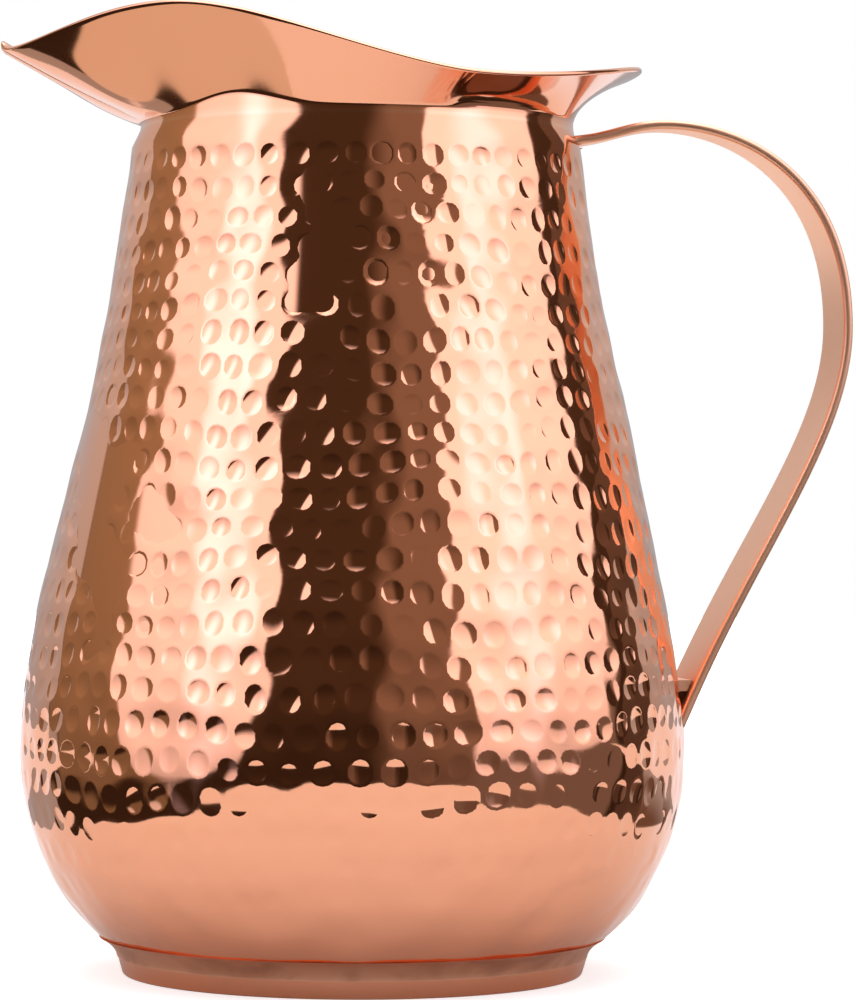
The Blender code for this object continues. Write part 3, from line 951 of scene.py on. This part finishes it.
def copper(name, colour, tarnish, roughness, spread, patches=0.3, scale=22, wear=0.3, lines=0.02):
    """A copper finish: tarnish patches, rubbed edges and polishing lines on a metal shader."""
    found = bpy.data.materials.get(name)
    if found:
        return found
    material = bpy.data.materials.new(name)
    material.use_nodes = True
    tree = material.node_tree
    where = tree.nodes.new("ShaderNodeTexCoord").outputs["Object"]
    cloudy = group_node(tree, "copper tarnish", tarnish_group, {
        "Vector": where, "Metal": (*colour, 1), "Tarnish": (*tarnish, 1), "Scale": scale,
        "Amount": patches}).outputs
    rubbed = group_node(tree, "rubbed edges", wear_group, {
        "Color": cloudy["Color"], "Amount": wear}).outputs
    polish = group_node(tree, "polishing lines", polish_group, {
        "Vector": where, "Roughness": roughness, "Spread": spread,
        "Tarnish": cloudy["Mask"]}).outputs
    bump = tree.nodes.new("ShaderNodeBump")
    for label, value in (("Strength", lines), ("Distance", 0.05 * MM),
                         ("Height", polish["Height"])):
        feed(tree, bump.inputs[label], value)
    shader = tree.nodes["Principled BSDF"]
    for label, value in (("Metallic", 1), ("Base Color", rubbed["Color"]),
                         ("Roughness", polish["Roughness"]), ("Normal", bump.outputs["Normal"])):
        feed(tree, shader.inputs[label], value)
    return material


def hammered_copper(settings):
    return copper("hammered_copper_bright", settings.colour, (0.90, 0.40, 0.22), 0.05, 0.03)


def plain_copper(settings):
    return copper("polished_copper_plain", settings.colour, (0.90, 0.40, 0.22), 0.07, 0.03)


def foot_copper():
    return copper("polished_copper_foot", (0.92, 0.43, 0.25), (0.86, 0.36, 0.19), 0.12, 0.05)


def satin_copper(settings):
    return copper("satin_copper_strap", settings.colour, (0.91, 0.49, 0.29), 0.40, 0.08)


def braze_copper():
    return copper("braze_dull", (0.74, 0.40, 0.25), (0.50, 0.24, 0.14), 0.34, 0.10, 0.8, 60)


# ---------------------------------------------------------------- studio

DARK = (0.070, 0.045, 0.028)
BROWN = (0.42, 0.33, 0.22)
DIM = (0.36, 0.30, 0.28)
SHADE = (0.16, 0.11, 0.085)
GREY = (0.27, 0.20, 0.16)
PAPER = (0.80, 0.74, 0.68)
RUST = (0.60, 0.39, 0.28)
BACKDROP = (0.78, 0.80, 0.84)
LIGHT = (1.0, 0.98, 1.14)
CORE = (1.0, 1.0, 1.40)

# Patches of light round the jug, later ones over earlier ones: middle and half width in degrees
# round from the camera's side (left is below zero), middle and half height in degrees above the
# floor, softness of the edge, squareness, colour and strength.
PATCHES = (
    (180, 54, 0, 100, 0.012, 8, BACKDROP, 1.0),
    (-95, 31, 50, 58, 0.04, 8, BROWN, 1.0),
    (121, 7, 10, 90, 0.10, 8, SHADE, 1.0),
    (62, 46, -14, 28, 0.05, 6, DIM, 1.0),
    (28, 15, 30, 48, 0.5, 3, GREY, 1.0),
    (-64, 40, 50, 54, 0.04, 2, LIGHT, 1.5),
    (-56, 8, 46, 34, 0.8, 2, CORE, 2.5),
    (71, 33, 38, 38, 0.04, 6, LIGHT, 1.6),
    (64, 9, 42, 32, 0.9, 2, CORE, 2.2),
    (0, 400, 90, 38, 0.35, 2, LIGHT, 2.8),
    (-85, 72, -90, 45.1, 0.015, 8, PAPER, 1.9),
    (146, 22, -46, 36, 0.08, 6, RUST, 0.5),
)
PATCH_SHAPE = ("Middle", "Half Width", "Level", "Half Height", "Softness", "Squareness")
LOW_SHADE = (-4, 24, 0.52)    # the lights weaken between these two elevations, to this part

PAPER_COLOUR = (0.63, 0.63, 0.565, 1)
PAPER_GLOW = 0.6              # added light that only the camera sees
FLOOR_ROUNDING = 0.45         # below 1, the near edge has fuller corners than an ellipse
FLOOR_START, FLOOR_SWEEP = radians(-20), radians(220)
FLOOR_STEPS = 64
FLOOR_SPREAD = 2.5            # half width of the floor behind the jug
FLOOR_DEPTHS = (0.5, 3)       # where it reaches that width, and its far edge


def patch_group(name):
    """Mask of one patch of light, from a direction's azimuth and elevation in degrees."""
    tree, start, end = new_group(
        name,
        [(label, "NodeSocketFloat", 1.0) for label in ("Azimuth", "Elevation", *PATCH_SHAPE)],
        (("Mask", "NodeSocketFloat"),))
    take = start.outputs
    aside = math_node(tree, "SUBTRACT", take["Azimuth"], take["Middle"])
    aside = math_node(tree, "WRAP", aside, 180.0, -180.0)
    across = math_node(tree, "ABSOLUTE", math_node(tree, "DIVIDE", aside, take["Half Width"]))
    above = math_node(tree, "SUBTRACT", take["Elevation"], take["Level"])
    upright = math_node(tree, "ABSOLUTE", math_node(tree, "DIVIDE", above, take["Half Height"]))
    across = math_node(tree, "POWER", across, take["Squareness"])
    upright = math_node(tree, "POWER", upright, take["Squareness"])
    power = math_node(tree, "DIVIDE", 1.0, take["Squareness"])
    reach = math_node(tree, "POWER", math_node(tree, "ADD", across, upright), power)
    inner = math_node(tree, "SUBTRACT", 1.0, take["Softness"])
    outer = math_node(tree, "ADD", 1.0, take["Softness"])
    feed(tree, end.inputs["Mask"], range_node(tree, reach, inner, outer, 1, 0))
    return tree


def studio_world(settings):
    """Dark room with soft lights at both sides and overhead, a pale backdrop and pale paper low
    down at the left; plain white to the camera."""
    world = bpy.data.worlds.new("studio")
    world.use_nodes = True
    tree = world.node_tree
    tree.nodes.clear()
    turn = tree.nodes.new("ShaderNodeMapping")
    turn.inputs["Rotation"].default_value = (0, 0, settings.turn)
    feed(tree, turn.inputs["Vector"], tree.nodes.new("ShaderNodeTexCoord").outputs["Generated"])
    split = tree.nodes.new("ShaderNodeSeparateXYZ")
    feed(tree, split.inputs["Vector"], turn.outputs["Vector"])
    near = math_node(tree, "MULTIPLY", split.outputs["Y"], -1.0)
    azimuth = math_node(tree, "DEGREES", math_node(tree, "ARCTAN2", split.outputs["X"], near))
    elevation = math_node(tree, "DEGREES", math_node(tree, "ARCSINE", split.outputs["Z"]))
    colour = (*DARK, 1)
    for *shape, tone, strength in PATCHES:
        patch = group_node(tree, "light patch", patch_group, {
            "Azimuth": azimuth, "Elevation": elevation, **dict(zip(PATCH_SHAPE, shape))})
        light = (*(part * strength for part in tone), 1)
        colour = mix_node(tree, patch.outputs["Mask"], colour, light)
    lit = tree.nodes.new("ShaderNodeBackground")
    feed(tree, lit.inputs["Color"], colour)
    feed(tree, lit.inputs["Strength"], range_node(tree, elevation, *LOW_SHADE))
    plain = tree.nodes.new("ShaderNodeBackground")
    plain.inputs["Color"].default_value = (1, 1, 1, 1)
    mix = tree.nodes.new("ShaderNodeMixShader")
    camera_ray = tree.nodes.new("ShaderNodeLightPath").outputs["Is Camera Ray"]
    for socket, value in zip(mix.inputs, (camera_ray, lit.outputs[0], plain.outputs[0])):
        feed(tree, socket, value)
    feed(tree, tree.nodes.new("ShaderNodeOutputWorld").inputs["Surface"], mix.outputs[0])
    return world


def floor_material():
    """White paper that reads as white to the camera."""
    material = bpy.data.materials.new("pale_floor")
    material.use_nodes = True
    tree = material.node_tree
    shader = tree.nodes["Principled BSDF"]
    for label, value in (("Base Color", PAPER_COLOUR), ("Roughness", 0.9),
                         ("Specular IOR Level", 0)):
        shader.inputs[label].default_value = value
    glow = tree.nodes.new("ShaderNodeEmission")
    camera_ray = tree.nodes.new("ShaderNodeLightPath").outputs["Is Camera Ray"]
    feed(tree, glow.inputs["Strength"], math_node(tree, "MULTIPLY", camera_ray, PAPER_GLOW))
    both = tree.nodes.new("ShaderNodeAddShader")
    for socket, part in zip(both.inputs, (shader, glow)):
        feed(tree, socket, part.outputs[0])
    feed(tree, tree.nodes["Material Output"].inputs["Surface"], both.outputs[0])
    return material


def build_floor(settings, away):
    """Paper with a rounded edge close to the jug in front and beside it, running far back."""
    right = Vector((away.y, -away.x, 0))
    bm = bmesh.new()
    edge = []
    for step in range(FLOOR_STEPS + 1):
        turn = FLOOR_START + FLOOR_SWEEP * step / FLOOR_STEPS
        across = copysign(abs(cos(turn)) ** FLOOR_ROUNDING, cos(turn))
        near = copysign(abs(sin(turn)) ** FLOOR_ROUNDING, sin(turn))
        edge.append(bm.verts.new(AXIS + right * settings.floor_side * across
                                 - away * settings.floor_reach * near))
    start, end = FLOOR_DEPTHS
    far = [bm.verts.new(AXIS + right * side * FLOOR_SPREAD + away * depth)
           for side, depth in ((-1, start), (-1, end), (1, end), (1, start))]
    bm.faces.new(edge + far)
    bmesh.ops.triangulate(bm, faces=bm.faces)
    mesh = bpy.data.meshes.new("floor")
    bm.to_mesh(mesh)
    bm.free()
    mesh.materials.append(floor_material())
    floor = bpy.data.objects.new("floor", mesh)
    bpy.context.scene.collection.objects.link(floor)


def build_stage(settings):
    """The camera, the floor and the light round the jug."""
    scene = bpy.context.scene
    right = Vector((cos(settings.turn), -sin(settings.turn), 0))
    away = Vector((sin(settings.turn), cos(settings.turn), 0))
    eye = AXIS + Vector((0, 0, settings.height)) + right * settings.aside
    eye -= away * settings.distance
    data = bpy.data.cameras.new("studio_camera")
    data.lens = settings.lens
    data.sensor_width = 36
    data.clip_start = 0.01
    camera = bpy.data.objects.new("studio_camera", data)
    scene.collection.objects.link(camera)
    forward = away * cos(settings.pitch) + Vector((0, 0, sin(settings.pitch)))
    up = right.cross(forward)
    aim = Matrix((right, up, -forward)).transposed().to_4x4()
    camera.matrix_world = Matrix.Translation(eye) @ aim @ Matrix.Rotation(settings.roll, 4, "Z")
    scene.camera = camera
    scene.view_settings.view_transform = "Standard"
    build_floor(settings, away)
    scene.world = studio_world(settings)


# ---------------------------------------------------------------- operators and panel

class JugOperator(Operator):
    """Shared run of an operator: one build function on one settings group"""
    bl_options = {"REGISTER", "UNDO"}

    def execute(self, context):
        self.build(getattr(context.scene, self.settings))
        return {"FINISHED"}


class COPPER_OT_body(JugOperator):
    """Build the hammered body shell"""
    bl_idname = "copper_jug.body"
    bl_label = "Hammered Body"
    settings = "copper_body"
    build = staticmethod(build_body)


class COPPER_OT_collar(JugOperator):
    """Build the flared lip with its spout"""
    bl_idname = "copper_jug.collar"
    bl_label = "Spout Collar"
    settings = "copper_collar"
    build = staticmethod(build_collar)


class COPPER_OT_seams(JugOperator):
    """Build the two braze seams"""
    bl_idname = "copper_jug.seams"
    bl_label = "Seams"
    settings = "copper_collar"
    build = staticmethod(build_seams)


class COPPER_OT_foot(JugOperator):
    """Build the foot ring and the base plate"""
    bl_idname = "copper_jug.foot"
    bl_label = "Foot"
    settings = "copper_foot"
    build = staticmethod(build_foot)


class COPPER_OT_handle(JugOperator):
    """Build the strap handle and finish its brazes"""
    bl_idname = "copper_jug.handle"
    bl_label = "Handle"
    settings = "copper_handle"
    build = staticmethod(build_handle)


class COPPER_OT_stage(JugOperator):
    """Set up the floor, the studio light and the camera"""
    bl_idname = "copper_jug.stage"
    bl_label = "Studio"
    settings = "copper_stage"
    build = staticmethod(build_stage)


SETTINGS = {
    "copper_body": BodySettings,
    "copper_collar": CollarSettings,
    "copper_foot": FootSettings,
    "copper_handle": HandleSettings,
    "copper_stage": StageSettings,
}
OPERATORS = (COPPER_OT_body, COPPER_OT_collar, COPPER_OT_seams, COPPER_OT_foot,
             COPPER_OT_handle, COPPER_OT_stage)


class COPPER_PT_panel(Panel):
    """The jug's pieces and sizes"""
    bl_idname = "COPPER_PT_panel"
    bl_label = "Copper Jug"
    bl_space_type = "VIEW_3D"
    bl_region_type = "UI"
    bl_category = "Copper Jug"

    def draw(self, context):
        for operator in OPERATORS:
            self.layout.operator(operator.bl_idname)
        for name, kind in SETTINGS.items():
            box = self.layout.box()
            box.label(text=kind.__doc__)
            for label in kind.__annotations__:
                box.prop(getattr(context.scene, name), label)


CLASSES = (*SETTINGS.values(), *OPERATORS, COPPER_PT_panel)


def register():
    for kind in CLASSES:
        bpy.utils.register_class(kind)
    for name, kind in SETTINGS.items():
        setattr(bpy.types.Scene, name, PointerProperty(type=kind))


def unregister():
    for name in SETTINGS:
        delattr(bpy.types.Scene, name)
    for kind in reversed(CLASSES):
        bpy.utils.unregister_class(kind)


def main():
    register()
    bpy.ops.copper_jug.body()
    bpy.ops.copper_jug.collar()
    bpy.ops.copper_jug.seams()
    bpy.ops.copper_jug.foot()
    bpy.ops.copper_jug.handle()
    bpy.ops.copper_jug.stage()


if __name__ == "__main__":
    main()
